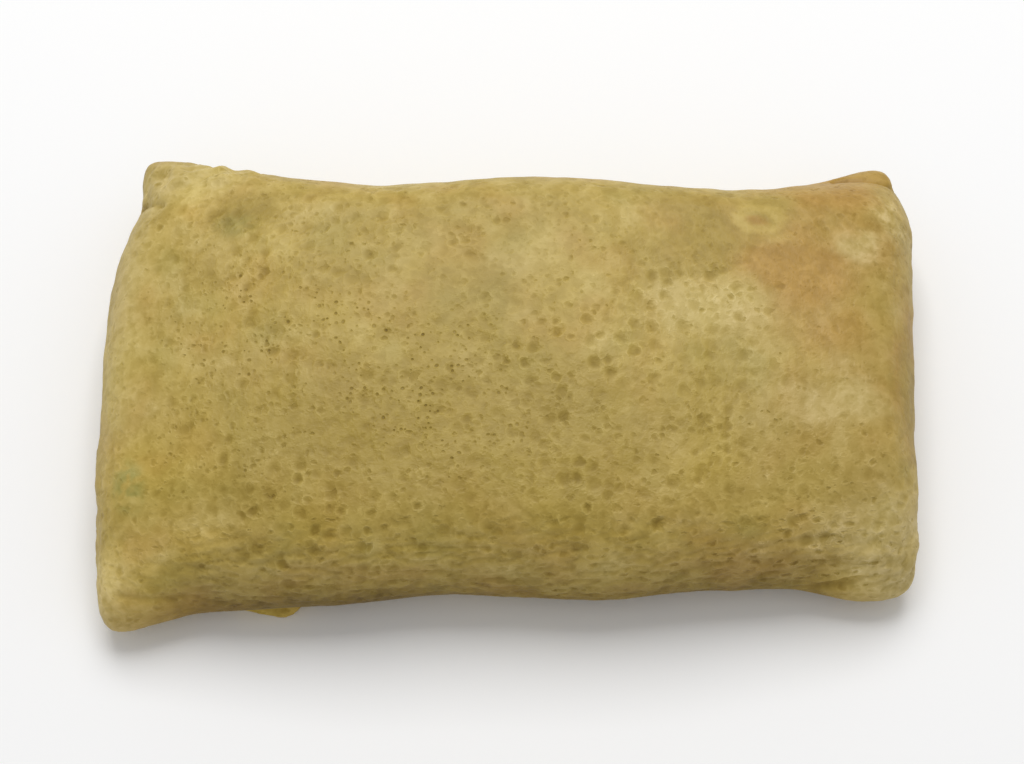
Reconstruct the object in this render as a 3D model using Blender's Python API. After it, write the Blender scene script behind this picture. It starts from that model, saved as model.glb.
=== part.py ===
"""A folded crepe: one thin pancake wrapped like an envelope round a filling and laid seam side down.

Run it with blender --background --python part.py, or from Blender's text editor.
Lengths are metres. +X runs along the parcel to its right end, +Y to its back, and +Z up.
The origin is on the surface that the parcel rests on, under the middle of its outline.
"""

import math

import bmesh
import bpy
from mathutils import Matrix, Vector, noise

MM = 0.001

# Driving dimensions of the wrapped parcel.
HALF_LENGTH = 65 * MM  # nominal, from the middle to either end
HALF_DEPTH = 34.5 * MM  # nominal, from the middle to the front or back
CREST_HEIGHT = 25.5 * MM  # top of the dome over the filling
END_DROP = 6.0 * MM  # how much lower the top is at either end
FRONT_DROP = 4.0 * MM  # how much lower the top is where the front shoulder begins
BACK_DROP = 2.0 * MM  # the same at the back shoulder
CREPE_THICKNESS = 1.6 * MM  # one layer of the pancake
UNDERSIDE_HEIGHT = 1.1 * MM  # the parcel's own bottom in front, above the flap it lies on
UNDERSIDE_BACK = 0.15 * MM  # the same at the back, where the flap and the back wall are one layer
HIGH_FROM = 0.4  # shares of the half depth between which the bottom goes from one to the other
LOW_FROM = 0.8

# Side walls: the widest line, and the quarter rounds above and below it.
WIDEST_HEIGHT = 8.0 * MM
SHOULDER_END = 8.0 * MM
SHOULDER_SIDE = 9.5 * MM
FOOT_END = 6.0 * MM
FOOT_SIDE = 5.5 * MM

# Outline of the widest line, seen from above: (share of the half length or half depth, millimetres).
FRONT_LINE = (
    (-1.0, -41.3), (-0.93, -40.8), (-0.86, -39.4), (-0.79, -38.0), (-0.7, -37.3), (-0.45, -36.5),
    (-0.34, -35.9), (-0.26, -35.1), (0.0, -34.9), (0.2, -35.5), (0.38, -34.4),
    (0.53, -33.7), (0.69, -33.6), (0.79, -35.8), (0.87, -36.3), (1.0, -36.4),
)
BACK_LINE = (
    (-1.0, 39.6), (-0.88, 38.6), (-0.7, 36.4), (-0.45, 33.8), (-0.2, 33.6), (0.0, 34.5),
    (0.25, 34.1), (0.55, 32.6), (0.8, 34.6), (1.0, 36.0),
)
LEFT_LINE = (
    (-1.0, -64.1), (-0.5, -65.6), (0.0, -66.0), (0.4, -65.5),
    (0.56, -64.2), (0.66, -62.2), (0.76, -61.0), (0.88, -61.2), (1.0, -62.6),
)
RIGHT_LINE = ((-1.0, 64.1), (-0.5, 63.2), (0.0, 63.9), (0.5, 65.1), (0.8, 65.3), (1.0, 62.8))

# The four corners (end, side), all in millimetres: how far the rounded corner stands in from a square
# one at the widest line and at the top, the height of the widest line, and how much lower the crest is.
CORNERS = {
    (-1, -1): (0.2, 3.0, 4.5, 1.5),
    (1, -1): (2.0, 3.4, 4.2, 2.5),
    (-1, 1): (0.2, 1.0, 13.0, 0.0),
    (1, 1): (0.6, 1.6, 10.5, 0.5),
}
CORNER_SHARPNESS = 7.0  # a higher power keeps the rounding of the outline nearer to the corner
CORNER_REACH = 5  # the same for the height of the widest line
CORNER_DROP_REACH = 2.5  # and for the lowering of the crest

# Hollows in the front wall above its two corners, in millimetres: middle along X and height of it,
# reach along X and up, and depth.
EAR_HOLLOWS = (
    (-50.0, 9.5, 8.0, 2.6, 1.6),
    (51.0, 10.0, 6.5, 2.8, 2.4),
)

# The top surface falls away to the ends and sides by these powers, and has low waves.
END_FALL = 2.6
SIDE_FALL = 2.2
WAVE_HEIGHT = 0.8 * MM
WAVE_LENGTH = 22 * MM

# The tucked layers that meet in two creases across each end: height, half width and depth of each.
END_ZONE = 0.8  # share of the half length beyond which a wall counts as an end
LOWER_CREASE = (5.6 * MM, 0.9 * MM, 2.2 * MM)
UPPER_CREASE = (11.4 * MM, 1.1 * MM, 2.6 * MM)
CREASE_BOW = 1.2 * MM
CREASE_FADE = 6  # a higher power lets the creases run nearer to the corners

# Mesh density of the box that is shaped into the parcel, and the smoothing and shading that follow.
COLUMNS_LONG = 48
COLUMNS_DEEP = 22
ROWS_UP = 18
CORNER_ZONE = 0.78  # share of the length times share of the depth beyond which corners are smoothed
CORNER_SMOOTHING = 3
SHARP_ANGLE = math.radians(50)

# The last flap, which lies under the parcel, and the ruffle of its free edge that looks out in front.
FLAP_HALF_LENGTH = 59 * MM
FLAP_BACK = 26 * MM
FLAP_FRONT = -32.0 * MM
FLAP_RIM_MIDDLE = -12 * MM
FLAP_CORNER = 6 * MM
FLAP_CORNER_SHARPNESS = 24
FLAP_STEPS = 84
PANCAKE_RADIUS = 130 * MM
LIP_MIDDLE = -39.6 * MM
LIP_HALF_WIDTH = 7.4 * MM
LIP_REACH = 6.7 * MM
LIP_FLATNESS = 6
LAYER_RIM = 0.35 * MM

# The pointed tab behind the back right corner, seen from above in millimetres.
TAB_POINTS = (
    (41.0, 27.0), (42.0, 32.6), (51.0, 34.8), (57.6, 37.8),
    (60.6, 38.0), (62.0, 36.2), (61.8, 31.0), (60.0, 22.0),
)
TAB_LOW = 9.8 * MM
TAB_HIGH = 13.8 * MM
TAB_RIM = 1.1 * MM
TAB_ROOT = 31.0 * MM
TAB_TIP = 38.0 * MM
TAB_DROOP = 2.6 * MM


def smooth_line(stations, at):
    """Value at a place along a line given by a few stations, joined by cubics with level ends."""
    places = [s[0] for s in stations]
    values = [s[1] * MM for s in stations]
    at = min(max(at, places[0]), places[-1])
    last = len(stations) - 1
    k = next(i for i in range(last) if at <= places[i + 1])

    def slope(i):
        lo, hi = max(i - 1, 0), min(i + 1, last)
        return (values[hi] - values[lo]) / (places[hi] - places[lo])

    width = places[k + 1] - places[k]
    t = (at - places[k]) / width
    return (
        (2 * t**3 - 3 * t**2 + 1) * values[k]
        + (t**3 - 2 * t**2 + t) * width * slope(k)
        + (3 * t**2 - 2 * t**3) * values[k + 1]
        + (t**3 - t**2) * width * slope(k + 1)
    )


def bump(distance, reach, flatness=2):
    """A soft hill, 1 at its middle and near 0 beyond its reach; more flatness widens its top."""
    return math.exp(-abs(distance / reach) ** flatness)


def plan(along, across):
    """Place on the floor plan of the point at a share of the half length and a share of the half depth."""
    left, right = smooth_line(LEFT_LINE, across), smooth_line(RIGHT_LINE, across)
    front, back = smooth_line(FRONT_LINE, along), smooth_line(BACK_LINE, along)
    return (
        left + (right - left) * (along + 1) / 2,
        front + (back - front) * (across + 1) / 2,
    )


def corner_values(u, v):
    """The nearest corner's two pulls, its widest height and its crest drop, faded out away from it."""
    near = (abs(u) * abs(v)) ** CORNER_REACH
    wide = (abs(u) * abs(v)) ** CORNER_DROP_REACH
    pull, pull_top, widest, drop = CORNERS[(1 if u > 0 else -1, 1 if v > 0 else -1)]
    widest_height = WIDEST_HEIGHT + (widest * MM - WIDEST_HEIGHT) * near
    return pull * MM * near, pull_top * MM, widest_height, drop * MM * wide


def crest(x, y):
    """Height of the top surface before its shoulders turn down."""
    along, across = abs(x / HALF_LENGTH), abs(y / HALF_DEPTH)
    height = CREST_HEIGHT
    height -= END_DROP * along**END_FALL
    height -= (BACK_DROP if y > 0 else FRONT_DROP) * across**SIDE_FALL
    return height + WAVE_HEIGHT * noise.noise(Vector((x, y, 0)) / WAVE_LENGTH)


def end_creases(x, y, z):
    """How far an end wall stands in, where the tucked layers of the fold meet."""
    if abs(x) < HALF_LENGTH * END_ZONE:
        return 0.0
    across = y / HALF_DEPTH
    fade = max(0.0, 1 - across**CREASE_FADE)
    bow = CREASE_BOW * across**2
    low_at, low_width, low_depth = LOWER_CREASE
    high_at, high_width, high_depth = UPPER_CREASE
    lower = low_depth * bump(z - (low_at + bow), low_width)
    upper = high_depth * bump(z - (high_at - bow), high_width)
    return fade * (lower + upper)


def ear_hollow(x, y, z):
    """How far the front wall stands in above the front corners."""
    if y > 0:
        return 0.0
    return sum(
        depth * MM * bump(x - at * MM, along * MM) * bump(z - height * MM, up * MM)
        for at, height, along, up, depth in EAR_HOLLOWS
    )


def underside(v):
    """Height of the parcel's own bottom at a share of the half depth."""
    rise = min(max((LOW_FROM - v) / (LOW_FROM - HIGH_FROM), 0.0), 1.0)
    return UNDERSIDE_BACK + (UNDERSIDE_HEIGHT - UNDERSIDE_BACK) * rise


def shape_point(u, v, w):
    """Moves a point of the box, whose sides are at -1 and 1, to its place on the parcel."""
    cos, sin = math.cos(w * math.pi / 2), math.sin(w * math.pi / 2)
    inset_x = (SHOULDER_END if w > 0 else FOOT_END) * (1 - cos)
    inset_y = (SHOULDER_SIDE if w > 0 else FOOT_SIDE) * (1 - cos)
    pull_widest, pull_top, widest, drop = corner_values(u, v)
    pull = pull_widest * cos + pull_top * (1 - cos)
    along = u * (1 - inset_x / HALF_LENGTH) * (1 - pull / HALF_LENGTH * abs(v) ** CORNER_SHARPNESS)
    across = v * (1 - inset_y / HALF_DEPTH) * (1 - pull / HALF_DEPTH * abs(u) ** CORNER_SHARPNESS)
    x, y = plan(along, across)
    if w > 0:
        z = widest + (crest(x, y) - drop - widest) * sin
    else:
        z = widest + (widest - underside(v)) * sin
    x -= math.copysign(end_creases(x, y, z), x)
    y += ear_hollow(x, y, z)
    return Vector((x, y, z))


def shaped_box():
    """A finely divided box, each of whose points is moved to its place on the parcel."""
    shape = bmesh.new()
    bmesh.ops.create_cube(shape, size=2)
    for axis, cuts in ((0, COLUMNS_LONG), (1, COLUMNS_DEEP), (2, ROWS_UP)):
        along = [e for e in shape.edges if abs((e.verts[0].co - e.verts[1].co)[axis]) > 1]
        bmesh.ops.subdivide_edges(shape, edges=along, cuts=cuts - 1, use_grid_fill=True)
    corners = [v for v in shape.verts if abs(v.co.x * v.co.y) > CORNER_ZONE and v.co.z > -1]
    for vert in shape.verts:
        vert.co = shape_point(*vert.co)
    walls_and_top = [v for v in shape.verts if v.co.z > UNDERSIDE_HEIGHT + MM]
    bmesh.ops.smooth_vert(
        shape, verts=walls_and_top, factor=0.5, use_axis_x=True, use_axis_y=True, use_axis_z=True
    )
    for _ in range(CORNER_SMOOTHING):
        bmesh.ops.smooth_vert(
            shape, verts=corners, factor=0.5, use_axis_x=True, use_axis_y=True, use_axis_z=True
        )
    return shape


def crepe_layer(outline, low, high, rim):
    """A flat piece of crepe with the given outline, whose upper and lower rims are rounded."""
    shape = bmesh.new()
    face = shape.faces.new([shape.verts.new((x, y, low)) for x, y in outline])
    face.normal_update()
    if face.normal.z > 0:
        face.normal_flip()
    raised = bmesh.ops.extrude_face_region(shape, geom=[face])["geom"]
    top = [g for g in raised if isinstance(g, bmesh.types.BMVert)]
    bmesh.ops.translate(shape, vec=(0, 0, high - low), verts=top)
    bmesh.ops.recalc_face_normals(shape, faces=shape.faces)
    rims = [e for e in shape.edges if abs(e.verts[0].co.z - e.verts[1].co.z) < rim / 10]
    bmesh.ops.bevel(shape, geom=rims, offset=rim, segments=2, profile=0.5, affect="EDGES")
    return shape


def flap_outline():
    """The last flap under the parcel: folded sides, and the pancake's own round rim as its free edge."""
    points = []
    for step in range(FLAP_STEPS + 1):
        x = FLAP_HALF_LENGTH * (2 * step / FLAP_STEPS - 1)
        rim = FLAP_FRONT + (x - FLAP_RIM_MIDDLE) ** 2 / (2 * PANCAKE_RADIUS)
        ruffle = LIP_REACH * bump(x - LIP_MIDDLE, LIP_HALF_WIDTH, LIP_FLATNESS)
        corner = FLAP_CORNER * (abs(x) / FLAP_HALF_LENGTH) ** FLAP_CORNER_SHARPNESS
        points.append((x, rim - ruffle + corner))
    points.append((FLAP_HALF_LENGTH, FLAP_BACK))
    points.append((-FLAP_HALF_LENGTH, FLAP_BACK))
    return points


def drooping_tab():
    """The pointed end of an inner layer, which looks out behind the back right corner and hangs a little."""
    shape = crepe_layer([(x * MM, y * MM) for x, y in TAB_POINTS], TAB_LOW, TAB_HIGH, TAB_RIM)
    for vert in shape.verts:
        beyond = max(0.0, (vert.co.y - TAB_ROOT) / (TAB_TIP - TAB_ROOT))
        vert.co.z -= TAB_DROOP * beyond**2
    return shape


def add_object(name, shape, collection):
    mesh = bpy.data.meshes.new(name)
    shape.to_mesh(mesh)
    shape.free()
    piece = bpy.data.objects.new(name, mesh)
    collection.objects.link(piece)
    return piece


def crepe_material():
    """Pale golden crepe, soft and a little moist."""
    made = bpy.data.materials.new("crepe")
    made.use_nodes = True
    shader = made.node_tree.nodes["Principled BSDF"]
    shader.inputs["Base Color"].default_value = (0.47, 0.33, 0.11, 1)
    shader.inputs["Roughness"].default_value = 0.55
    shader.inputs["Metallic"].default_value = 0.0
    return made


def fuse(body, folds):
    """Joins the folds to the body as one solid, and removes them."""
    joined = bpy.data.collections.new("folds")
    for name, shape in folds.items():
        add_object(name, shape, joined)
    union = body.modifiers.new("join the folds", "BOOLEAN")
    union.operation = "UNION"
    union.operand_type = "COLLECTION"
    union.collection = joined
    union.solver = "EXACT"
    bpy.context.view_layer.update()
    fused = bpy.data.meshes.new_from_object(body.evaluated_get(bpy.context.evaluated_depsgraph_get()))
    body.modifiers.clear()
    body.data = fused
    for fold in list(joined.objects):
        bpy.data.objects.remove(fold)
    bpy.data.collections.remove(joined)


def stand_on_origin(piece):
    """Moves the mesh so that the origin is under the middle of its outline, at its lowest point."""
    corners = [Vector(c) for c in piece.bound_box]
    low = Vector([min(c[i] for c in corners) for i in range(3)])
    high = Vector([max(c[i] for c in corners) for i in range(3)])
    middle = (low + high) / 2
    piece.data.transform(Matrix.Translation((-middle.x, -middle.y, -low.z)))


def build():
    for old in list(bpy.data.objects):
        bpy.data.objects.remove(old)
    crepe = add_object("folded_crepe", shaped_box(), bpy.context.scene.collection)
    flap = crepe_layer(flap_outline(), 0, CREPE_THICKNESS, LAYER_RIM)
    fuse(crepe, {"flap": flap, "tab": drooping_tab()})
    stand_on_origin(crepe)
    crepe.data.materials.clear()
    crepe.data.materials.append(crepe_material())
    crepe.data.shade_smooth()
    crepe.data.set_sharp_from_angle(angle=SHARP_ANGLE)


build()
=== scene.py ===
"""The looks of a folded crepe: its soft folds, pitted skin and colours, on a pale stage."""
import math

import bpy
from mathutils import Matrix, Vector


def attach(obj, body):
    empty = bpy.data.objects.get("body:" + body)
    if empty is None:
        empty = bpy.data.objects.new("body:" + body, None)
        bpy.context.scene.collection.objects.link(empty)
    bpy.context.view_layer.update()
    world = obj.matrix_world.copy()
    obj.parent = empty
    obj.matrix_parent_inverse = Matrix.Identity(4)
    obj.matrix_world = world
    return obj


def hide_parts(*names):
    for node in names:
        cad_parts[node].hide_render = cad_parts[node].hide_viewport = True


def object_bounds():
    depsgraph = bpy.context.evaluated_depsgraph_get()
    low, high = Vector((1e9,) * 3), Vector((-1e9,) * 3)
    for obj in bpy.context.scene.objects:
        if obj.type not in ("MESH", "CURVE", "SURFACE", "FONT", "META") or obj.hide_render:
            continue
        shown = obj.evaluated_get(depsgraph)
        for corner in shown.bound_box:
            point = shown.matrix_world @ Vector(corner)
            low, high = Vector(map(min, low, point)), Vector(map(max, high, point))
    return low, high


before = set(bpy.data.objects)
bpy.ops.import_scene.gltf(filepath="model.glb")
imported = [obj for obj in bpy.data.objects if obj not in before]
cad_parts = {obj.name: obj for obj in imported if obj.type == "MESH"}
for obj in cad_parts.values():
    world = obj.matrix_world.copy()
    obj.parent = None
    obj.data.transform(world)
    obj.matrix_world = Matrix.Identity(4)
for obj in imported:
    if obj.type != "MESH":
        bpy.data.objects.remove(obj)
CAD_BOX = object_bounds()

bl_info = {
    "name": "Folded crepe",
    "version": (1, 0, 0),
    "blender": (4, 5, 0),
    "location": "View3D > Sidebar > Crepe",
    "description": "Builds the skin of a folded crepe round its solid, and a plain stage",
    "category": "Object",
}

MM = 0.001
NODE = "folded_crepe"
PIECE = "crepe_skin"

# What each point of the skin carries for the material.
WARPED = "warped_place"  # where it lies, in millimetres, pushed about so that the pits aren't round
# The soft colours under the pits, painted light and shade among them.
GROUND = "ground_colour"
SPREAD = "pit_spread"  # how much it has of the large pits, small pits and pinholes

# Places on the parcel, in millimetres, in the frame of the solid.

# Sharp creases: start, end, half width and depth.
CREASES = {
    "under the back left ear": ((-62.0, 30.0, 11.5), (-55.9, 27.4, 20.2), 0.42, 0.75),
    "over the front left ear": ((-59.5, -35.6, 11.0), (-49.0, -35.9, 10.6), 0.6, 0.3),
    "over the front right ear": ((44.0, -33.6, 7.0), (53.5, -32.4, 9.8), 0.6, 0.6),
    "under the back right tab": ((53.0, 34.6, 13.2), (63.0, 33.6, 12.6), 0.8, 1.1),
}

# Wrinkles of the front shoulder: start and end.
WRINKLES = (
    ((24.0, -31.6, 15.2), (47.0, -31.4, 13.6)),
    ((33.0, -30.2, 17.6), (56.0, -28.6, 15.6)),
    ((38.0, -32.2, 11.6), (53.0, -31.6, 13.0)),
    ((-56.0, -32.4, 14.6), (-37.0, -31.8, 16.0)),
    ((-30.0, -33.2, 13.8), (-8.0, -32.8, 14.6)),
    ((-4.0, -33.4, 12.6), (19.0, -32.6, 13.4)),
)

# Lines where the tucked layers meet at the ends: height in the middle, rise towards the corners,
# depth of the gap, how far the lip above stands out and how far the layer below lies in.
# In front the lines come together, because the outer layer goes round the inner ones there.
END_LINES = ((5.6, 1.2, 1.0, 0.0, 0.5), (11.4, -1.2, 1.5, 0.6, 0.0))
END_REACH = 30.0  # half the width over which the lines run
END_MEETING = 8.0  # height at which they come together

# The edge of the last flap, where it looks out in front: middle and half sizes.
LIP = ((-37.0, -35.5, 0.5), (12.0, 5.0, 3.0))

# Browned areas: middle, half sizes and strength. The last, below the front left ear, is browned skin and
# painted shade.
BROWNED = (
    ((44.5, 14.5, 23.0), (12.0, 8.0, 9.0), 1.0),
    ((42.0, 15.5, 23.0), (6.0, 3.5, 6.0), 0.5),
    ((46.5, 24.5, 22.0), (4.0, 6.0, 6.0), 0.6),
    ((56.0, 23.0, 19.0), (9.0, 9.0, 9.0), 0.6),
    ((31.0, 18.0, 23.0), (9.0, 6.0, 8.0), 0.5),
    ((50.0, 31.0, 17.0), (14.0, 7.0, 9.0), 0.8),
    ((27.0, 24.5, 23.0), (8.0, 5.0, 6.0), 0.4),
    ((57.0, 36.5, 12.0), (9.0, 5.0, 5.0), 0.7),
    ((62.5, -3.0, 16.0), (5.0, 14.0, 10.0), 1.0),
    ((47.0, 5.0, 23.0), (9.0, 6.0, 8.0), 0.4),
    ((56.0, 0.0, 21.0), (16.0, 24.0, 10.0), 0.25),
    ((36.0, -30.0, 14.0), (20.0, 5.0, 7.0), 0.4),
    ((38.9, 22.8, 22.6), (2.8, 1.5, 4.0), 1.0),
    ((-50.0, -37.0, 6.0), (7.0, 5.0, 8.0), 0.5),
)

# Pale spots, where the batter hardly touched the pan, and painted light along the left end and on its front
# ear: middle, half sizes and strength.
PALE_AND_LIT = (
    ((2.8, 15.7, 25.0), (8.0, 5.0, 6.0), 0.5),
    ((30.0, 7.0, 24.0), (12.0, 6.5, 6.0), 0.85),
    ((54.8, 18.8, 21.0), (5.0, 4.0, 5.0), 0.9),
    ((49.9, -8.4, 22.0), (10.0, 5.0, 6.0), 0.8),
    ((-52.0, 31.5, 19.0), (11.0, 7.0, 8.0), 1.0),
    ((-62.0, 8.0, 19.0), (6.5, 28.0, 10.0), 0.9),
    ((60.0, 25.5, 18.0), (5.0, 6.0, 6.0), 0.8),
    ((-61.0, -34.0, 9.0), (6.0, 7.0, 10.0), 0.9),
    ((59.0, -30.0, 11.0), (10.0, 8.0, 10.0), 1.0),
    ((52.0, -27.0, 15.0), (11.0, 7.0, 8.0), 0.6),
    ((61.0, -24.0, 13.0), (7.0, 7.0, 8.0), 0.5),
    ((61.5, -33.0, 7.0), (5.0, 4.0, 6.0), 1.0),
)

# Places with few pits: middle, half sizes and strength.
QUIET = (
    ((54.0, 4.0, 20.0), (22.0, 24.0, 14.0), 0.4),
    ((-60.0, -10.0, 19.0), (12.0, 26.0, 12.0), 0.45),
    ((62.0, -8.0, 17.0), (6.0, 26.0, 14.0), 0.4),
    ((4.0, 17.0, 25.0), (9.0, 6.0, 8.0), 0.6),
    ((39.1, 23.4, 22.6), (8.0, 5.0, 7.0), 0.8),
    ((27.0, 21.5, 23.5), (12.0, 7.0, 8.0), 0.6),
)

# Darker clouds of skin, and painted shade towards the front of the top and along the left and right ends:
# middle, half sizes and strength.
DARK_AND_SHADED = (
    ((-42.8, 23.8, 23.0), (7.0, 5.5, 6.0), 1.0),
    ((-27.4, 13.3, 24.8), (8.0, 5.0, 6.0), 0.5),
    ((-5.7, 4.5, 25.2), (7.0, 5.0, 6.0), 0.4),
    ((-18.0, 2.0, 25.0), (40.0, 22.0, 9.0), 0.3),
    ((-20.6, -11.5, 24.4), (16.0, 8.0, 8.0), 0.7),
    ((-22.5, -16.0, 24.0), (9.0, 5.5, 6.0), 0.6),
    ((-4.0, -16.0, 22.0), (66.0, 18.0, 12.0), 0.9),
    ((62.5, -5.0, 17.0), (4.5, 13.0, 9.0), 1.0),
    ((-65.0, 14.0, 13.0), (4.0, 14.0, 7.0), 0.8),
    ((30.5, 18.5, 23.5), (9.0, 6.5, 6.0), 1.0),
    ((28.0, 25.0, 22.0), (8.0, 5.0, 6.0), 0.9),
    (*LIP, 0.7),
)

# Painted light: places painted lighter, as if more light fell there, mostly on the ends, the front shoulder
# and the edge of the last flap: middle, half sizes and strength.
PAINTED_LIGHT = (
    ((-59.0, -33.5, 12.0), (9.0, 7.0, 7.0), 0.21),
    ((-63.0, -28.0, 11.0), (5.0, 14.0, 10.0), 0.06),
    (*LIP, 0.64),
    ((6.0, -30.0, 19.0), (54.0, 4.5, 5.0), 0.11),
    ((49.0, -33.5, 8.0), (9.0, 5.0, 6.0), 0.22),
    ((-54.0, -18.0, 19.5), (13.0, 8.0, 8.0), 0.16),
    ((-47.0, -28.5, 17.0), (6.0, 4.0, 5.0), 0.14),
    ((-50.5, 26.5, 21.0), (6.0, 4.0, 5.0), 0.14),
    ((28.0, -18.0, 23.5), (8.0, 5.0, 6.0), 0.09),
    ((51.0, -31.0, 12.0), (10.0, 6.0, 7.0), 0.09),
)

# Places a little darker all over: painted shade low on the front, under the ears and along the left end, and
# darker skin on the top and round the ring: middle, half sizes and strength.
SHADED = (
    ((-27.0, -34.5, 8.5), (16.0, 5.0, 7.0), 0.11),
    ((-34.0, -36.0, 6.0), (24.0, 4.0, 5.0), 0.05),
    ((-53.0, -37.0, 5.0), (8.0, 4.0, 5.0), 0.13),
    ((-16.0, -34.5, 5.0), (14.0, 4.0, 5.0), 0.09),
    ((54.0, -32.5, 4.0), (6.5, 4.0, 4.5), 0.13),
    ((-22.0, -14.0, 24.5), (11.0, 6.0, 6.0), 0.06),
    ((-43.0, 24.0, 23.0), (6.0, 4.5, 5.0), 0.05),
    ((-64.5, 16.0, 14.0), (2.5, 14.0, 8.0), 0.07),
    ((38.9, 23.3, 22.6), (9.0, 6.5, 7.0), 0.08),
)

# Places whose skin is finely cracked into flakes: middle, half sizes and strength.
FLAKY = (
    ((59.0, 23.0, 19.0), (9.0, 9.0, 8.0), 1.0),
    ((45.0, 17.0, 23.0), (14.0, 10.0, 8.0), 0.55),
    ((-45.0, 22.0, 22.0), (18.0, 13.0, 8.0), 0.6),
)
FLAKE = 2.6  # width of a flake

# Faint green marks of the filling: middle, half sizes and strength.
GREEN = (
    ((-58.3, -20.6, 18.4), (3.2, 4.8, 4.0), 1.0),
    ((-43.5, 22.0, 22.8), (4.0, 2.8, 4.0), 0.5),
)

# Small knobs along the back left edge, where the skin is gathered: middle and half sizes.
KNOBBLY = ((-50.0, 33.0, 17.0), (14.0, 6.0, 8.0))

# Pits of burst bubbles: distance between them, smallest and largest radius.
LARGE_PITS = (2.3, 0.45, 1.2)
SMALL_PITS = (1.4, 0.2, 0.58)
PINHOLES = (0.95, 0.14, 0.33)

# Pits of the front shoulder, where the skin is squeezed: as above, and how much longer than high they are.
SQUEEZED_PITS = (1.2, 0.2, 0.5)
SQUEEZE = 2.0
SQUEEZED_MOST = ((43.0, -28.0, 15.0), (17.0, 8.0, 9.0))  # where they show the most: middle and half sizes
SMOOTH_END = (-60.0, -44.0)  # from here to here along the front it turns from smooth to creased

# Where the large pits stand out, and where pinholes cluster: middle, half sizes and strength.
SPOTTED = (
    ((28.0, 8.0, 24.0), (14.0, 10.0, 8.0), 1.0),
    ((10.0, -5.0, 25.0), (30.0, 14.0, 9.0), 0.6),
    ((-40.0, -10.0, 23.0), (16.0, 14.0, 8.0), 0.3),
    ((10.0, -26.0, 20.0), (50.0, 9.0, 12.0), 0.6),
    ((-28.0, -26.0, 19.0), (18.0, 10.0, 11.0), 0.7),
    ((48.0, -24.0, 17.0), (16.0, 9.0, 9.0), 0.7),
    ((-46.0, 20.0, 23.0), (16.0, 12.0, 9.0), 0.5),
)
PRICKED = (
    ((-38.0, 4.0, 24.0), (18.0, 14.0, 9.0), 1.0),
    ((-16.0, -2.0, 25.0), (16.0, 16.0, 9.0), 1.0),
    ((-8.0, -14.0, 24.0), (14.0, 10.0, 8.0), 0.8),
    ((-46.0, -16.0, 22.0), (14.0, 12.0, 9.0), 0.5),
)

# The pale ring near the back right corner: middle, and half sizes to the middle of its band.
RING_MIDDLE = (38.9, 23.3, 22.6)
RING_SIZE = (3.4, 2.05, 5.0)
RING_WIDTH = 0.52  # half width of the band, as a share of the half sizes

# Lobes that thicken the ring: middle, half sizes and strength.
RING_LOBES = (
    ((40.8, 25.0, 22.4), (2.4, 1.3, 4.0), 0.6),
    ((42.3, 24.0, 22.6), (1.7, 2.2, 4.0), 0.8),
    ((42.8, 19.9, 22.8), (2.2, 1.3, 4.0), 0.7),
)

# Relief, in millimetres: how long the waves of each kind are, and how high or deep the smaller kinds are.
LUMP = 15.0
DIMPLE = 5.5
KNOB = 3.2
KNOB_HEIGHT = 3.0
WRINKLE_DEPTH = 0.2
CREASING_DEPTH = 0.27

# Heights: the solid is rounded less below the first, and the relief sets in between the other two.
FLAP_TOP = 2.2
UNDERSIDE = (0.4, 3.0)

# How strongly each kind of soft colour shows, from 0 to 1.
CLOUDY = 0.5
WARM = 0.3
GREENISH = 0.14
TOASTED = 0.85
MARKED = 0.8
FILLING_GREEN = 0.55
RING_PALE = 0.2

# How much lighter or darker each kind of soft place is, as a share of its colour: painted light, painted
# shade low on the front, in the creasing, wrinkles and gaps, and the ring's and flakes' own colour.
PAINTED_LIGHT_STRENGTH = 0.9
RING_LIGHT = 0.14
LOW_SHADE = 0.43
CREASING_SHADE = 0.1
WRINKLE_SHADE = 0.05
FLAKE_SHADE = 0.26
GAP_SHADE = 0.36

# How much faster than red the other two colours fade in a darker place, as powers of its shade.
GREEN_FADES = 1.17
BLUE_FADES = 2.4

# Share of blue that the skin keeps where it isn't milky, and how much more where it is.
LEAST_BLUE = 0.785
MILKY_BLUE = 0.33

# How much lighter or darker the fine marks are, as a share of the colour under them.
HOLLOW_SHADE = 0.3
PINHOLE_SHADE = 0.5
BLOTCH_SHADE = 0.1
CRUMB_SHADE = 0.24
RIM_LIGHT = 0.13

# Crumb of the skin, in millimetres: its width, and how far it pushes the outlines of the pits about.
CRUMB = 1.1
RAGGED = 0.9

# How rough the skin is between the pits, how much more so in them, and how much it shines.
SKIN_ROUGHNESS = 0.5
PIT_ROUGHNESS = 0.12
SHINE = 0.35

# The stage, in metres. The light stands behind the parcel and above it.
FLOOR_SIZE = 6.0
FLOOR_ROUGHNESS = 0.7
LIGHT_PLACE = (0.0, 0.55, 0.95)
SENSOR = 36.0  # width of the camera's sensor, in millimetres
NEAREST = 0.01  # what is nearer to the camera than this isn't shown


class CrepeSizes(bpy.types.PropertyGroup):
    grid: bpy.props.FloatProperty(
        name="Grid", description="Spacing of the points of the finished skin",
        default=0.58 * MM, min=0.4 * MM, max=2 * MM, unit="LENGTH", precision=5,
    )
    rounding: bpy.props.IntProperty(
        name="Rounding", description="How often the solid's flat facets are smoothed",
        default=7, min=0, max=30,
    )
    lumps: bpy.props.FloatProperty(
        name="Lumps", description="Height of the waves that the filling pushes up",
        default=0.55 * MM, min=0, max=2 * MM, unit="LENGTH", precision=5,
    )
    pit_depth: bpy.props.FloatProperty(
        name="Pit depth", description="Depth of the pits that burst bubbles leave",
        default=0.12 * MM, min=0, max=0.5 * MM, unit="LENGTH", precision=5,
    )


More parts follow.
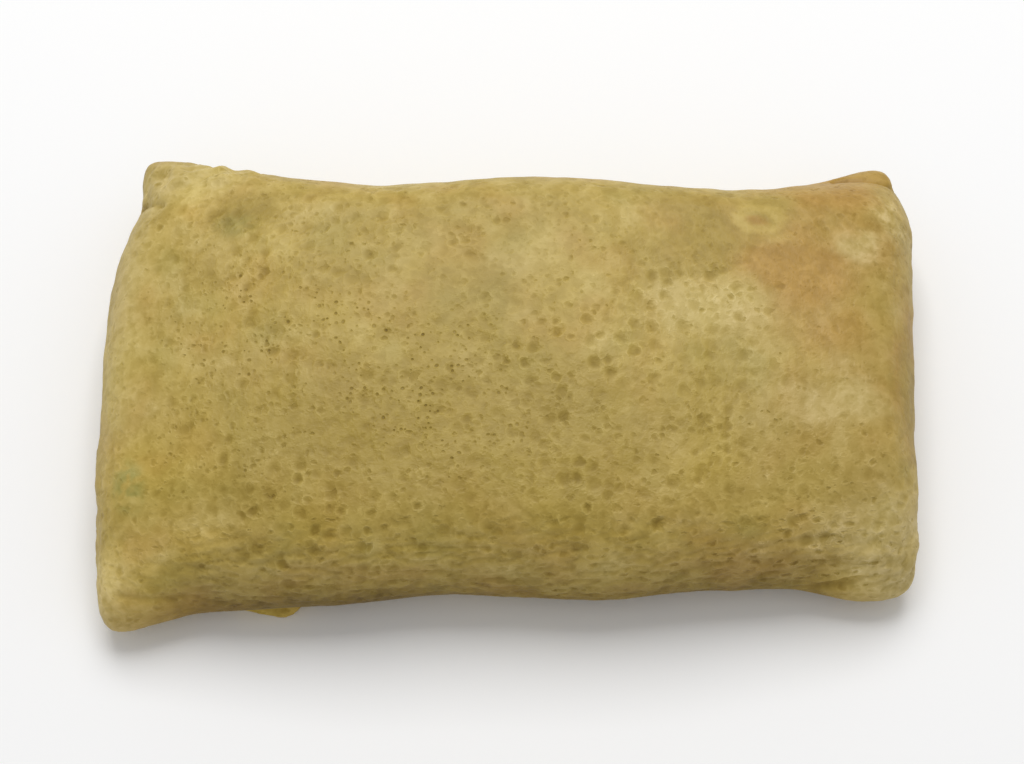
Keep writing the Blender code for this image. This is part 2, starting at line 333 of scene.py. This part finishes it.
class CrepeColours(bpy.types.PropertyGroup):
    batter: bpy.props.FloatVectorProperty(
        name="Batter", description="The cooked skin between the pits",
        default=(0.468, 0.338, 0.083), size=3, subtype="COLOR", min=0, max=1,
    )
    # Also mixed in as painted shade towards the front of the top and along the ends.
    dark: bpy.props.FloatVectorProperty(
        name="Dark", description="Clouds of darker skin",
        default=(0.355, 0.25, 0.045), size=3, subtype="COLOR", min=0, max=1,
    )
    # Also mixed in as painted light along the left end and on its front ear.
    pale: bpy.props.FloatVectorProperty(
        name="Pale", description="Thin rims and places that hardly touched the pan",
        default=(0.56, 0.433, 0.153), size=3, subtype="COLOR", min=0, max=1,
    )
    # Also mixed in as painted shade below the front left ear.
    browned: bpy.props.FloatVectorProperty(
        name="Browned", description="Toasted areas",
        default=(0.41, 0.233, 0.04), size=3, subtype="COLOR", min=0, max=1,
    )
    green: bpy.props.FloatVectorProperty(
        name="Green", description="Marks of the filling",
        default=(0.205, 0.222, 0.06), size=3, subtype="COLOR", min=0, max=1,
    )


class CrepeStage(bpy.types.PropertyGroup):
    elevation: bpy.props.FloatProperty(
        name="Elevation", description="Angle at which the camera looks down",
        default=math.radians(66), subtype="ANGLE",
    )
    distance: bpy.props.FloatProperty(
        name="Distance", description="From the camera to the parcel's middle", default=0.36, unit="LENGTH"
    )
    aim_back: bpy.props.FloatProperty(
        name="Aim", description="How far behind the origin the camera aims",
        default=0.6 * MM, unit="LENGTH", precision=5,
    )
    aim_height: bpy.props.FloatProperty(
        name="Aim height", description="Height of the point the camera aims at",
        default=10 * MM, unit="LENGTH",
    )
    lens: bpy.props.FloatProperty(name="Lens", description="Focal length on a 36 mm sensor", default=79.73)
    floor: bpy.props.FloatVectorProperty(
        name="Floor", description="Colour of the pale floor",
        default=(0.95, 0.95, 0.95), size=3, subtype="COLOR", min=0, max=1,
    )
    light_size: bpy.props.FloatProperty(
        name="Light size", description="Side of the square light", default=0.7, min=0.01, unit="LENGTH"
    )
    light_power: bpy.props.FloatProperty(
        name="Light power", description="Power of the square light", default=7.7, min=0, unit="POWER"
    )
    daylight: bpy.props.FloatProperty(
        name="Daylight", description="Strength of the even light from all round", default=0.5, min=0
    )


class Term:
    """A number or vector in a node tree. Sums written with it add the nodes that work them out."""

    def __init__(self, bench, socket):
        self.bench = bench
        self.socket = socket

    def is_vector(self):
        return self.socket.type in {"VECTOR", "RGBA"}

    def combine(self, operation, first, second):
        if not self.is_vector():
            return self.bench.number(operation, first, second)
        plain = not second.is_vector() if isinstance(second, Term) else isinstance(second, (int, float))
        if operation == "MULTIPLY" and plain:
            return self.bench.vector("SCALE", first, Scale=second)
        return self.bench.vector(operation, first, second)

    def __add__(self, other):
        return self.combine("ADD", self, other)

    __radd__ = __add__

    def __sub__(self, other):
        return self.combine("SUBTRACT", self, other)

    def __rsub__(self, other):
        return self.combine("SUBTRACT", other, self)

    def __mul__(self, other):
        return self.combine("MULTIPLY", self, other)

    __rmul__ = __mul__

    def __truediv__(self, other):
        return self.combine("DIVIDE", self, other)

    def __pow__(self, other):
        return self.combine("POWER", self, other)

    def xyz(self):
        """The three numbers of a vector or colour."""
        parts = self.bench.node("ShaderNodeSeparateXYZ", {0: self})
        return [Term(self.bench, out) for out in parts.outputs]


class Bench:
    """Adds nodes to one node tree, a material's or a shape's."""

    def __init__(self, tree):
        self.tree = tree

    def node(self, kind, sockets, **settings):
        """Makes one node: its settings first, then the value or link of each socket, by name or number."""
        made = self.tree.nodes.new(kind)
        for name, value in settings.items():
            setattr(made, name, value)
        for key, value in sockets.items():
            if isinstance(value, Term):
                self.tree.links.new(value.socket, made.inputs[key])
            else:
                made.inputs[key].default_value = value
        return made

    def out(self, made, key=0):
        return Term(self, made.outputs[key])

    def number(self, operation, *values):
        return self.out(self.node("ShaderNodeMath", dict(enumerate(values)), operation=operation))

    def vector(self, operation, *values, **named):
        made = self.node("ShaderNodeVectorMath", {**dict(enumerate(values)), **named}, operation=operation)
        return self.out(made, "Value" if operation in {"LENGTH", "DOT_PRODUCT", "DISTANCE"} else "Vector")

    def smallest(self, first, second):
        return self.number("MINIMUM", first, second)

    def largest(self, first, second):
        return self.number("MAXIMUM", first, second)

    def step(self, value, low, high):
        """Goes softly from 0 at low to 1 at high, or the other way when low is the larger."""
        sockets = {"Value": value, "From Min": low, "From Max": high, "To Min": 0.0, "To Max": 1.0}
        return self.out(self.node("ShaderNodeMapRange", sockets, interpolation_type="SMOOTHSTEP"))

    def noise(self, place, size, detail=2.0, output=0):
        """Soft noise round 0.5 whose waves are about size millimetres long. A caller shifts the place,
        so that no two noises show the same pattern."""
        sockets = {"Vector": place, "Scale": 1 / size, "Detail": detail}
        return self.out(self.node("ShaderNodeTexNoise", sockets), output)

    def wobbled(self, place, size, reach):
        """The place, pushed about by up to half the reach each way."""
        return place + (self.noise(place, size, output="Color") - (0.5, 0.5, 0.5)) * reach

    def cells(self, place, spacing):
        """A cell pattern: millimetres to the nearest cell's point, and three random numbers for each cell."""
        made = self.node("ShaderNodeTexVoronoi", {"Vector": place, "Scale": 1 / spacing})
        return self.out(made, "Distance") * spacing, self.out(made, "Color")

    def within(self, place, middle, half_sizes):
        """1 inside a soft oval round the middle, 0 outside it."""
        share = (place - middle) / half_sizes
        return self.step(self.vector("LENGTH", share), 1.15, 0.35)

    def to_line(self, place, start, end):
        """Distance from the place to a straight line between two points."""
        run = Vector(end) - Vector(start)
        from_start = place - start
        along = self.vector("DOT_PRODUCT", from_start, tuple(run / run.length_squared))
        along = self.smallest(self.largest(along, 0.0), 1.0)
        return self.vector("LENGTH", from_start - self.vector("SCALE", tuple(run), Scale=along))

    def mix(self, share, first, second):
        """The first colour at share 0, the second at share 1."""
        made = self.node("ShaderNodeMix", {0: share, 6: first, 7: second}, data_type="RGBA")
        return self.out(made, 2)


def sum_of(bench, place, areas):
    """Adds up soft areas, each a middle, half sizes and a strength, up to 1."""
    total = sum(bench.within(place, middle, half) * strength for middle, half, strength in areas)
    return bench.smallest(total, 1.0)


def creases(bench, place):
    """How deep the skin lies in its sharp creases, in millimetres."""
    shaken = bench.wobbled(place, 6.0, 1.2)
    depth = 0.0
    for start, end, width, deep in CREASES.values():
        depth = bench.step(bench.to_line(shaken, start, end), width * 1.8, width * 0.2) * deep + depth
    return depth


def wrinkles(bench, place):
    """The loose wrinkles of the front shoulder: 0 away from them, 1 in them, more where they meet."""
    loose = bench.wobbled(place, 9.0, 3.4)
    return sum(bench.step(bench.to_line(loose, start, end), 1.3, 0.1) for start, end in WRINKLES)


def tucked_layers(bench, place, normal):
    """The layers tucked in at the ends: how deep the gaps between them are, and how far they stand out."""
    x, y, z = bench.wobbled(place, 8.0, 1.6).xyz()
    across = y / END_REACH
    facing = bench.step(bench.number("ABSOLUTE", normal.xyz()[0]), 0.4, 0.75)
    facing = facing * bench.step(bench.number("ABSOLUTE", across), 1.08, 0.85)
    meet = bench.step(across, -0.6, -1.05)
    uneven = bench.step(bench.noise(place + (7.0, 11.0, 5.0), 9.0, detail=1.0), 0.3, 0.65) * 0.7 + 0.4
    gaps = 0.0
    layers = 0.0
    for height, rise, deep, lip, inset in END_LINES:
        line = (across * across * rise + height) * (1.0 - meet) + meet * END_MEETING
        above = z - line
        gaps = bench.step(bench.number("ABSOLUTE", above), 0.95, 0.05) * deep + gaps
        layers = bench.step(above, 0.2, 0.9) * bench.step(above, 4.4, 1.4) * lip + layers
        layers = layers - bench.step(above, -0.2, -1.0) * inset
    gathered = bench.node("ShaderNodeCombineXYZ", {0: x * 0.5, 1: y * 0.5, 2: z * 0.16})
    gathers = (bench.noise(bench.out(gathered), 1.6, detail=1.0) - 0.5) * bench.step(z, 15.0, 11.0)
    return facing * gaps * uneven, facing * (layers + gathers * 0.9)


def front_creasing(bench, place):
    """Fine wrinkles along the front shoulder, from 0 to 1."""
    x, y, z = place.xyz()
    stretched = bench.node("ShaderNodeCombineXYZ", {0: x * 0.16, 1: y * 0.55, 2: z * 0.55})
    ridges = bench.noise(bench.out(stretched), 1.0, detail=2.0)
    lines = bench.step(bench.number("ABSOLUTE", ridges - 0.5), 0.08, 0.0)
    return lines * bench.step(y, -25.0, -32.0) * bench.step(z, 4.0, 9.0) * bench.step(x, *SMOOTH_END)


def pits(bench, place, spacing, small, large):
    """Round pits, about one to a cell, each with its own size and depth: how far a place is on
    a pit's floor, and how far on the pale rim round it."""
    distance, chance = bench.cells(place, spacing)
    size_chance, depth_chance, _ = chance.xyz()
    share = distance / (size_chance * (large - small) + small)
    strength = depth_chance * 0.7 + 0.3
    floor = bench.step(share, 1.25, 0.4) * strength
    rim = bench.step(bench.number("ABSOLUTE", share - 1.35), 0.35, 0.05) * strength
    return floor, rim


def large_pits(bench, warped):
    return pits(bench, warped + (31.0, 7.0, 3.0), *LARGE_PITS)


def spread(bench, place):
    """How much of the large pits, small pits and pinholes each place has."""
    _, y, _ = place.xyz()
    front = bench.step(y, 4.0, -26.0)
    large = bench.step(bench.noise(place, 10.0, detail=1.0), 0.36, 0.6) * 0.5
    lively = 1.0 - sum_of(bench, place, QUIET)
    large = (large + sum_of(bench, place, SPOTTED) * 0.7 + front * 0.15 + 0.2) * lively
    small = bench.step(bench.noise(place + (2.0, 8.0, 4.0), 7.0), 0.35, 0.6) * 0.6 + front * 0.3 + 0.25
    small = small * lively
    pinholes = bench.step(bench.noise(place + (21.0, 4.0, 7.0), 6.0), 0.4, 0.56)
    pinholes = pinholes * (sum_of(bench, place, PRICKED) * 0.75 + 0.25)
    return bench.smallest(large, 1.25), bench.smallest(small, 1.25), pinholes


def ring(bench, place):
    """The pale ring, from 0 to 1."""
    near = bench.wobbled(place, 3.0, 2.0)
    share = bench.vector("LENGTH", (near - RING_MIDDLE) / RING_SIZE)
    band = bench.step(bench.number("ABSOLUTE", share - 1.0), RING_WIDTH, RING_WIDTH * 0.35)
    return bench.smallest(band + sum_of(bench, near, RING_LOBES), 1.0)


def shade_and_browning(bench, shade):
    """What a darkening leaves of red, green and blue, for painted shade and for the skin's own darker marks
    alike: a darker place is a yellower one too.
    """
    sockets = {0: shade, 1: shade ** GREEN_FADES, 2: shade ** BLUE_FADES}
    return bench.out(bench.node("ShaderNodeCombineXYZ", sockets))


def tone(colour):
    """A colour as a colour socket takes it, with its alpha."""
    return (*colour, 1.0)


def clouded(bench, place, colours):
    """The batter's colour with soft drifts of darker, paler, warmer and greener skin."""
    dark = tone(colours.dark)
    broad = bench.noise(place + (4.0, 40.0, 2.0), 17.0, detail=1.0)
    middle = bench.noise(place + (14.0, 4.0, 22.0), 5.0, detail=1.0)
    warmer = bench.noise(place + (24.0, 3.0, 12.0), 8.0, detail=1.0)
    colour = bench.mix(bench.step(broad, 0.35, 0.7) * CLOUDY, tone(colours.batter), dark)
    colour = bench.mix(bench.step(middle, 0.5, 0.75) * CLOUDY, colour, dark)
    colour = bench.mix(bench.step(middle, 0.5, 0.25) * CLOUDY, colour, tone(colours.pale))
    colour = bench.mix(bench.step(warmer, 0.48, 0.7) * WARM, colour, tone(colours.browned))
    return bench.mix(bench.step(warmer, 0.45, 0.25) * GREENISH, colour, tone(colours.green))


def marked(bench, place, colour, halo, colours):
    """The colour with the marks that have their own places: toasted, dark, pale and green, and the ring, with
    painted shade among the dark marks and painted light among the pale ones.
    """
    pale = tone(colours.pale)
    toasted = sum_of(bench, bench.wobbled(place, 5.0, 6.0), BROWNED)
    shaken = bench.wobbled(bench.wobbled(place, 7.0, 7.0), 1.8, 2.4)
    specks = bench.step(bench.noise(place + (5.0, 5.0, 31.0), 2.0, detail=3.0), 0.38, 0.54)
    colour = bench.mix(toasted * TOASTED, colour, tone(colours.browned))
    colour = bench.mix(sum_of(bench, shaken, DARK_AND_SHADED) * MARKED, colour, tone(colours.dark))
    colour = bench.mix(sum_of(bench, shaken, PALE_AND_LIT) * MARKED, colour, pale)
    colour = bench.mix(sum_of(bench, place, GREEN) * specks * FILLING_GREEN, colour, tone(colours.green))
    return bench.mix(halo * RING_PALE, colour, pale)


def low_front_shade(bench, place):
    """Painted shade on the lower half of the front between the ears, less so at the edge of the flap, from 0
    to 1.
    """
    x, y, z = place.xyz()
    low = bench.step(z, 17.0, 6.0) * bench.step(y, -20.0, -31.0)
    low = low * bench.step(bench.number("ABSOLUTE", x), 54.0, 44.0)
    return low * (1.0 - bench.within(place, *LIP) * 0.7)


def flaking(bench, place):
    """Fine flakes of cracked skin, each with its own shade, and the cracks between them."""
    cracks = bench.step(bench.number("ABSOLUTE", bench.noise(place, 3.0, detail=2.0) - 0.5), 0.04, 0.0)
    _, chance = bench.cells(bench.wobbled(place, 2.5, 2.0), FLAKE)
    return (cracks * 0.4 + chance.xyz()[0] - 0.5) * sum_of(bench, place, FLAKY)


def milkiness(bench, place):
    """Shares of red, green and blue that keep more blue where the skin is milky, most at the right end."""
    milky = bench.noise(place + (9.0, 33.0, 6.0), 9.0, detail=1.0)
    milky = milky + bench.step(place.xyz()[0], 20.0, 58.0) * 0.4
    blue = milky * MILKY_BLUE + LEAST_BLUE
    return bench.out(bench.node("ShaderNodeCombineXYZ", {0: 1.0, 1: 1.0, 2: blue}))


def ground_colour(bench, place, gaps, colours):
    """The soft colours under the pits, with painted light, and painted shade low on the front and in the
    creases, wrinkles and gaps.
    """
    halo = ring(bench, place)
    colour = marked(bench, place, clouded(bench, place, colours), halo, colours)
    # Painted shade low on the front, in the places listed as shaded, in the front creasing and in the
    # wrinkles; the flakes are the skin's own colour.
    shade = low_front_shade(bench, place) * LOW_SHADE + sum_of(bench, place, SHADED)
    shade = shade + front_creasing(bench, place) * CREASING_SHADE + wrinkles(bench, place) * WRINKLE_SHADE
    shade = shade + flaking(bench, place) * FLAKE_SHADE
    # Painted light in the places listed for it; the ring is the skin's own paler colour.
    light = sum_of(bench, place, PAINTED_LIGHT) * PAINTED_LIGHT_STRENGTH + halo * RING_LIGHT + 1.0
    colour = colour * light * milkiness(bench, place)
    # Painted shade in the gaps and sharp creases, by their depth.
    return colour * shade_and_browning(bench, 1.0 - bench.smallest(gaps, 1.0) * GAP_SHADE - shade)


def all_pits(bench, warped, ragged, shares):
    """How strong the hollows of the pits, the pale rims round them and the pinholes are at each place."""
    large_share, small_share, pinhole_share = shares
    large, large_rim = large_pits(bench, ragged)
    small, small_rim = pits(bench, ragged + (5.0, 17.0, 11.0), *SMALL_PITS)
    pinholes, pin_rim = pits(bench, warped + (3.0, 23.0, 19.0), *PINHOLES)
    squeezed = ragged * (1 / SQUEEZE, 1.0, 1.0) + (9.0, 3.0, 27.0)
    long_pits, long_rim = pits(bench, squeezed, *SQUEEZED_PITS)

    x, y, _ = warped.xyz()
    front = bench.step(y, -18.0, -30.0) * (bench.step(x, *SMOOTH_END) * 0.7 + 0.3)
    round_share = small_share * (1.0 - front * 0.7)
    long_share = front * (bench.within(warped, *SQUEEZED_MOST) * 0.8 + 0.9)

    def strongest(of_large, of_small, of_long):
        both = bench.largest(of_large * large_share, of_small * round_share)
        return bench.largest(both, of_long * long_share)

    hollow = strongest(large, small, long_pits)
    rim = bench.largest(strongest(large_rim, small_rim, long_rim), pin_rim * pinhole_share)
    return hollow, rim, pinholes * pinhole_share


def crepe_material(sizes):
    """The pitted, spotted skin of a thin pancake, over the soft colours, painted light and shade among them,
    that its points carry.
    """
    material = bpy.data.materials.new("crepe")
    material.use_nodes = True
    tree = material.node_tree
    shader = tree.nodes["Principled BSDF"]
    bench = Bench(tree)

    def carried(name, output):
        return bench.out(bench.node("ShaderNodeAttribute", {}, attribute_name=name), output)

    ground = carried(GROUND, "Color")
    warped = carried(WARPED, "Vector")
    shares = carried(SPREAD, "Vector").xyz()

    sockets = {"Vector": warped, "Scale": 1 / CRUMB, "Detail": 2.0, "Roughness": 0.6}
    crumb = bench.node("ShaderNodeTexNoise", sockets)
    fine = bench.out(crumb, "Fac") - 0.5
    ragged = warped + (bench.out(crumb, "Color") - (0.5, 0.5, 0.5)) * RAGGED
    blotches = bench.step(bench.noise(ragged + (8.0, 2.0, 6.0), 2.0, detail=1.0), 0.44, 0.58) - 0.5
    hollow, rim, pinholes = all_pits(bench, warped, ragged, shares)
    rim = rim * bench.step(fine, -0.15, 0.1)

    shade = 1.0 - hollow * HOLLOW_SHADE - pinholes * PINHOLE_SHADE - blotches * BLOTCH_SHADE
    shade = shade + fine * CRUMB_SHADE + rim * RIM_LIGHT
    colour = ground * shade_and_browning(bench, shade)
    tree.links.new(colour.socket, shader.inputs["Base Color"])
    rough = hollow * PIT_ROUGHNESS + SKIN_ROUGHNESS
    tree.links.new(rough.socket, shader.inputs["Roughness"])

    height = (fine + rim * 0.3 - hollow * 0.8 - pinholes) * sizes.pit_depth
    bump = bench.node("ShaderNodeBump", {"Height": height, "Distance": 1.0, "Strength": 1.0})
    tree.links.new(bump.outputs["Normal"], shader.inputs["Normal"])
    shader.inputs["Specular IOR Level"].default_value = SHINE
    return material


def deselect():
    if bpy.context.object and bpy.context.object.mode != "OBJECT":
        bpy.ops.object.mode_set(mode="OBJECT")
    bpy.ops.object.select_all(action="DESELECT")


def make_active(piece):
    deselect()
    piece.select_set(True)
    bpy.context.view_layer.objects.active = piece


def applied(piece, kind, **settings):
    """Adds a modifier to the piece, sets it and applies it."""
    modifier = piece.modifiers.new(kind.lower(), kind)
    for name, value in settings.items():
        setattr(modifier, name, value)
    make_active(piece)
    bpy.ops.object.modifier_apply(modifier=modifier.name)


def copy_of_solid(node, name):
    """The solid's surface as a new piece, with its loose triangles merged and paired into quads."""
    piece = bpy.data.objects.new(name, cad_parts[node].data.copy())
    bpy.context.scene.collection.objects.link(piece)
    make_active(piece)
    bpy.ops.object.mode_set(mode="EDIT")
    bpy.ops.mesh.select_all(action="SELECT")
    bpy.ops.mesh.remove_doubles(threshold=0.01 * MM)
    bpy.ops.mesh.tris_convert_to_quads(face_threshold=math.radians(30), shape_threshold=math.radians(60))
    bpy.ops.object.mode_set(mode="OBJECT")
    return piece


def relief(bench, place, gaps, layers, pitted, sizes):
    """How far each point moves out along its normal, in metres."""
    lumps = (bench.noise(place, LUMP, detail=1.0) - 0.5) * (2 * sizes.lumps / MM)
    dimples = (bench.noise(place + (3.0, 1.0, 9.0), DIMPLE, detail=1.0) - 0.5) * (0.7 * sizes.lumps / MM)
    sunk = pitted * (sizes.pit_depth / MM)
    knobs = bench.noise(place + (6.0, 6.0, 2.0), KNOB, detail=1.0) - 0.4
    knobs = knobs * bench.within(place, *KNOBBLY) * KNOB_HEIGHT
    lift = lumps + dimples + knobs + layers - sunk - gaps - wrinkles(bench, place) * WRINKLE_DEPTH
    lift = lift - front_creasing(bench, place) * CREASING_DEPTH
    return lift * bench.step(place.xyz()[2], *UNDERSIDE) * MM


def relief_tree(sizes, colours):
    """A shape tree that gives the points their soft colours, painted light and shade among them, then moves
    them along their normals.
    """
    tree = bpy.data.node_groups.new("crepe relief", "GeometryNodeTree")
    tree.interface.new_socket("Geometry", in_out="INPUT", socket_type="NodeSocketGeometry")
    tree.interface.new_socket("Geometry", in_out="OUTPUT", socket_type="NodeSocketGeometry")
    bench = Bench(tree)
    shape = bench.out(tree.nodes.new("NodeGroupInput"))
    place = bench.out(bench.node("GeometryNodeInputPosition", {})) * (1 / MM)
    normal = bench.out(bench.node("GeometryNodeInputNormal", {}))
    warped = bench.wobbled(place, 2.2, 1.0)
    shares = spread(bench, place)
    gaps, layers = tucked_layers(bench, place, normal)
    gaps = gaps + creases(bench, place)
    carried = (
        (WARPED, "FLOAT_VECTOR", warped),
        (GROUND, "FLOAT_COLOR", ground_colour(bench, place, gaps, colours)),
        (SPREAD, "FLOAT_VECTOR", bench.out(bench.node("ShaderNodeCombineXYZ", dict(enumerate(shares))))),
    )
    for name, kind, value in carried:
        sockets = {"Geometry": shape, "Name": name, "Value": value}
        store = bench.node("GeometryNodeStoreNamedAttribute", sockets, data_type=kind, domain="POINT")
        shape = bench.out(store)

    lift = relief(bench, place, gaps, layers, large_pits(bench, warped)[0] * shares[0], sizes)
    moved = bench.node("GeometryNodeSetPosition", {"Geometry": shape, "Offset": normal * lift})
    done = tree.nodes.new("NodeGroupOutput")
    tree.links.new(moved.outputs["Geometry"], done.inputs[0])
    return tree


def keep_inside(piece, low, high):
    """Presses the few points that stand out of the solid's box back onto it."""
    for vert in piece.data.vertices:
        for axis in range(3):
            vert.co[axis] = min(max(vert.co[axis], low[axis]), high[axis])


class CREPE_OT_skin(bpy.types.Operator):
    """Builds the crepe's skin over the solid, with its folds, pits and colours"""

    bl_idname = "crepe.skin"
    bl_label = "Crepe skin"

    def execute(self, context):
        sizes = context.scene.crepe_sizes
        piece = copy_of_solid(NODE, PIECE)
        applied(piece, "SUBSURF", levels=1, render_levels=1)
        applied(piece, "REMESH", mode="VOXEL", voxel_size=sizes.grid)
        upper = piece.vertex_groups.new(name="above the flap")
        upper.add([v.index for v in piece.data.vertices if v.co.z > FLAP_TOP * MM], 1.0, "REPLACE")
        applied(piece, "SMOOTH", factor=0.5, iterations=sizes.rounding, vertex_group=upper.name)
        applied(piece, "SMOOTH", factor=0.5, iterations=2)
        applied(piece, "NODES", node_group=relief_tree(sizes, context.scene.crepe_colours))
        piece.vertex_groups.clear()
        keep_inside(piece, *CAD_BOX)
        piece.data.shade_smooth()
        piece.data.materials.clear()
        piece.data.materials.append(crepe_material(sizes))
        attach(piece, "root")
        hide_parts(NODE)
        deselect()
        return {"FINISHED"}


def plain_material(name, colour, roughness):
    material = bpy.data.materials.new(name)
    material.use_nodes = True
    shader = material.node_tree.nodes["Principled BSDF"]
    shader.inputs["Base Color"].default_value = (*colour, 1.0)
    shader.inputs["Roughness"].default_value = roughness
    return material


def soft_light(name, place, aim, size, power):
    """A large square light at a place, turned towards the point it aims at."""
    deselect()
    bpy.ops.object.light_add(type="AREA", location=place)
    light = bpy.context.object
    light.name = name
    light.data.size = size
    light.data.energy = power
    light.rotation_euler = (Vector(aim) - Vector(place)).to_track_quat("-Z", "Y").to_euler()


class CREPE_OT_stage(bpy.types.Operator):
    """Adds the pale floor, the soft lights and the camera"""

    bl_idname = "crepe.stage"
    bl_label = "Stage"

    def execute(self, context):
        stage = context.scene.crepe_stage
        deselect()
        bpy.ops.mesh.primitive_plane_add(size=FLOOR_SIZE, location=(0, 0, 0))
        floor = context.object
        floor.name = "floor"
        floor.data.materials.append(plain_material("pale floor", stage.floor, FLOOR_ROUGHNESS))

        world = bpy.data.worlds.new("soft daylight")
        world.use_nodes = True
        sky = world.node_tree.nodes["Background"]
        sky.inputs["Color"].default_value = (1.0, 1.0, 1.0, 1.0)
        sky.inputs["Strength"].default_value = stage.daylight
        context.scene.world = world

        middle = (0.0, 0.0, 0.0)
        soft_light("key light", LIGHT_PLACE, middle, stage.light_size, stage.light_power)

        aim = Vector((0.0, stage.aim_back, stage.aim_height))
        away = Vector((0.0, -math.cos(stage.elevation), math.sin(stage.elevation)))
        bpy.ops.object.camera_add(location=aim + away * stage.distance)
        camera = context.object
        camera.rotation_euler = (math.pi / 2 - stage.elevation, 0.0, 0.0)
        camera.data.lens = stage.lens
        camera.data.sensor_width = SENSOR
        camera.data.clip_start = NEAREST
        context.scene.camera = camera
        context.scene.view_settings.view_transform = "Standard"
        deselect()
        return {"FINISHED"}


class CREPE_PT_panel(bpy.types.Panel):
    """Lists the crepe's sizes, colours and steps"""

    bl_label = "Folded crepe"
    bl_idname = "CREPE_PT_panel"
    bl_space_type = "VIEW_3D"
    bl_region_type = "UI"
    bl_category = "Crepe"

    def draw(self, context):
        for group in (context.scene.crepe_sizes, context.scene.crepe_colours, context.scene.crepe_stage):
            for name in group.__annotations__:
                self.layout.prop(group, name)
        for step in (CREPE_OT_skin, CREPE_OT_stage):
            self.layout.operator(step.bl_idname)


CLASSES = (CrepeSizes, CrepeColours, CrepeStage, CREPE_OT_skin, CREPE_OT_stage, CREPE_PT_panel)


def register():
    for cls in CLASSES:
        bpy.utils.register_class(cls)
    bpy.types.Scene.crepe_sizes = bpy.props.PointerProperty(type=CrepeSizes)
    bpy.types.Scene.crepe_colours = bpy.props.PointerProperty(type=CrepeColours)
    bpy.types.Scene.crepe_stage = bpy.props.PointerProperty(type=CrepeStage)


def unregister():
    del bpy.types.Scene.crepe_stage
    del bpy.types.Scene.crepe_colours
    del bpy.types.Scene.crepe_sizes
    for cls in reversed(CLASSES):
        bpy.utils.unregister_class(cls)


def main():
    register()
    bpy.ops.crepe.skin()
    bpy.ops.crepe.stage()


if __name__ == "__main__":
    main()
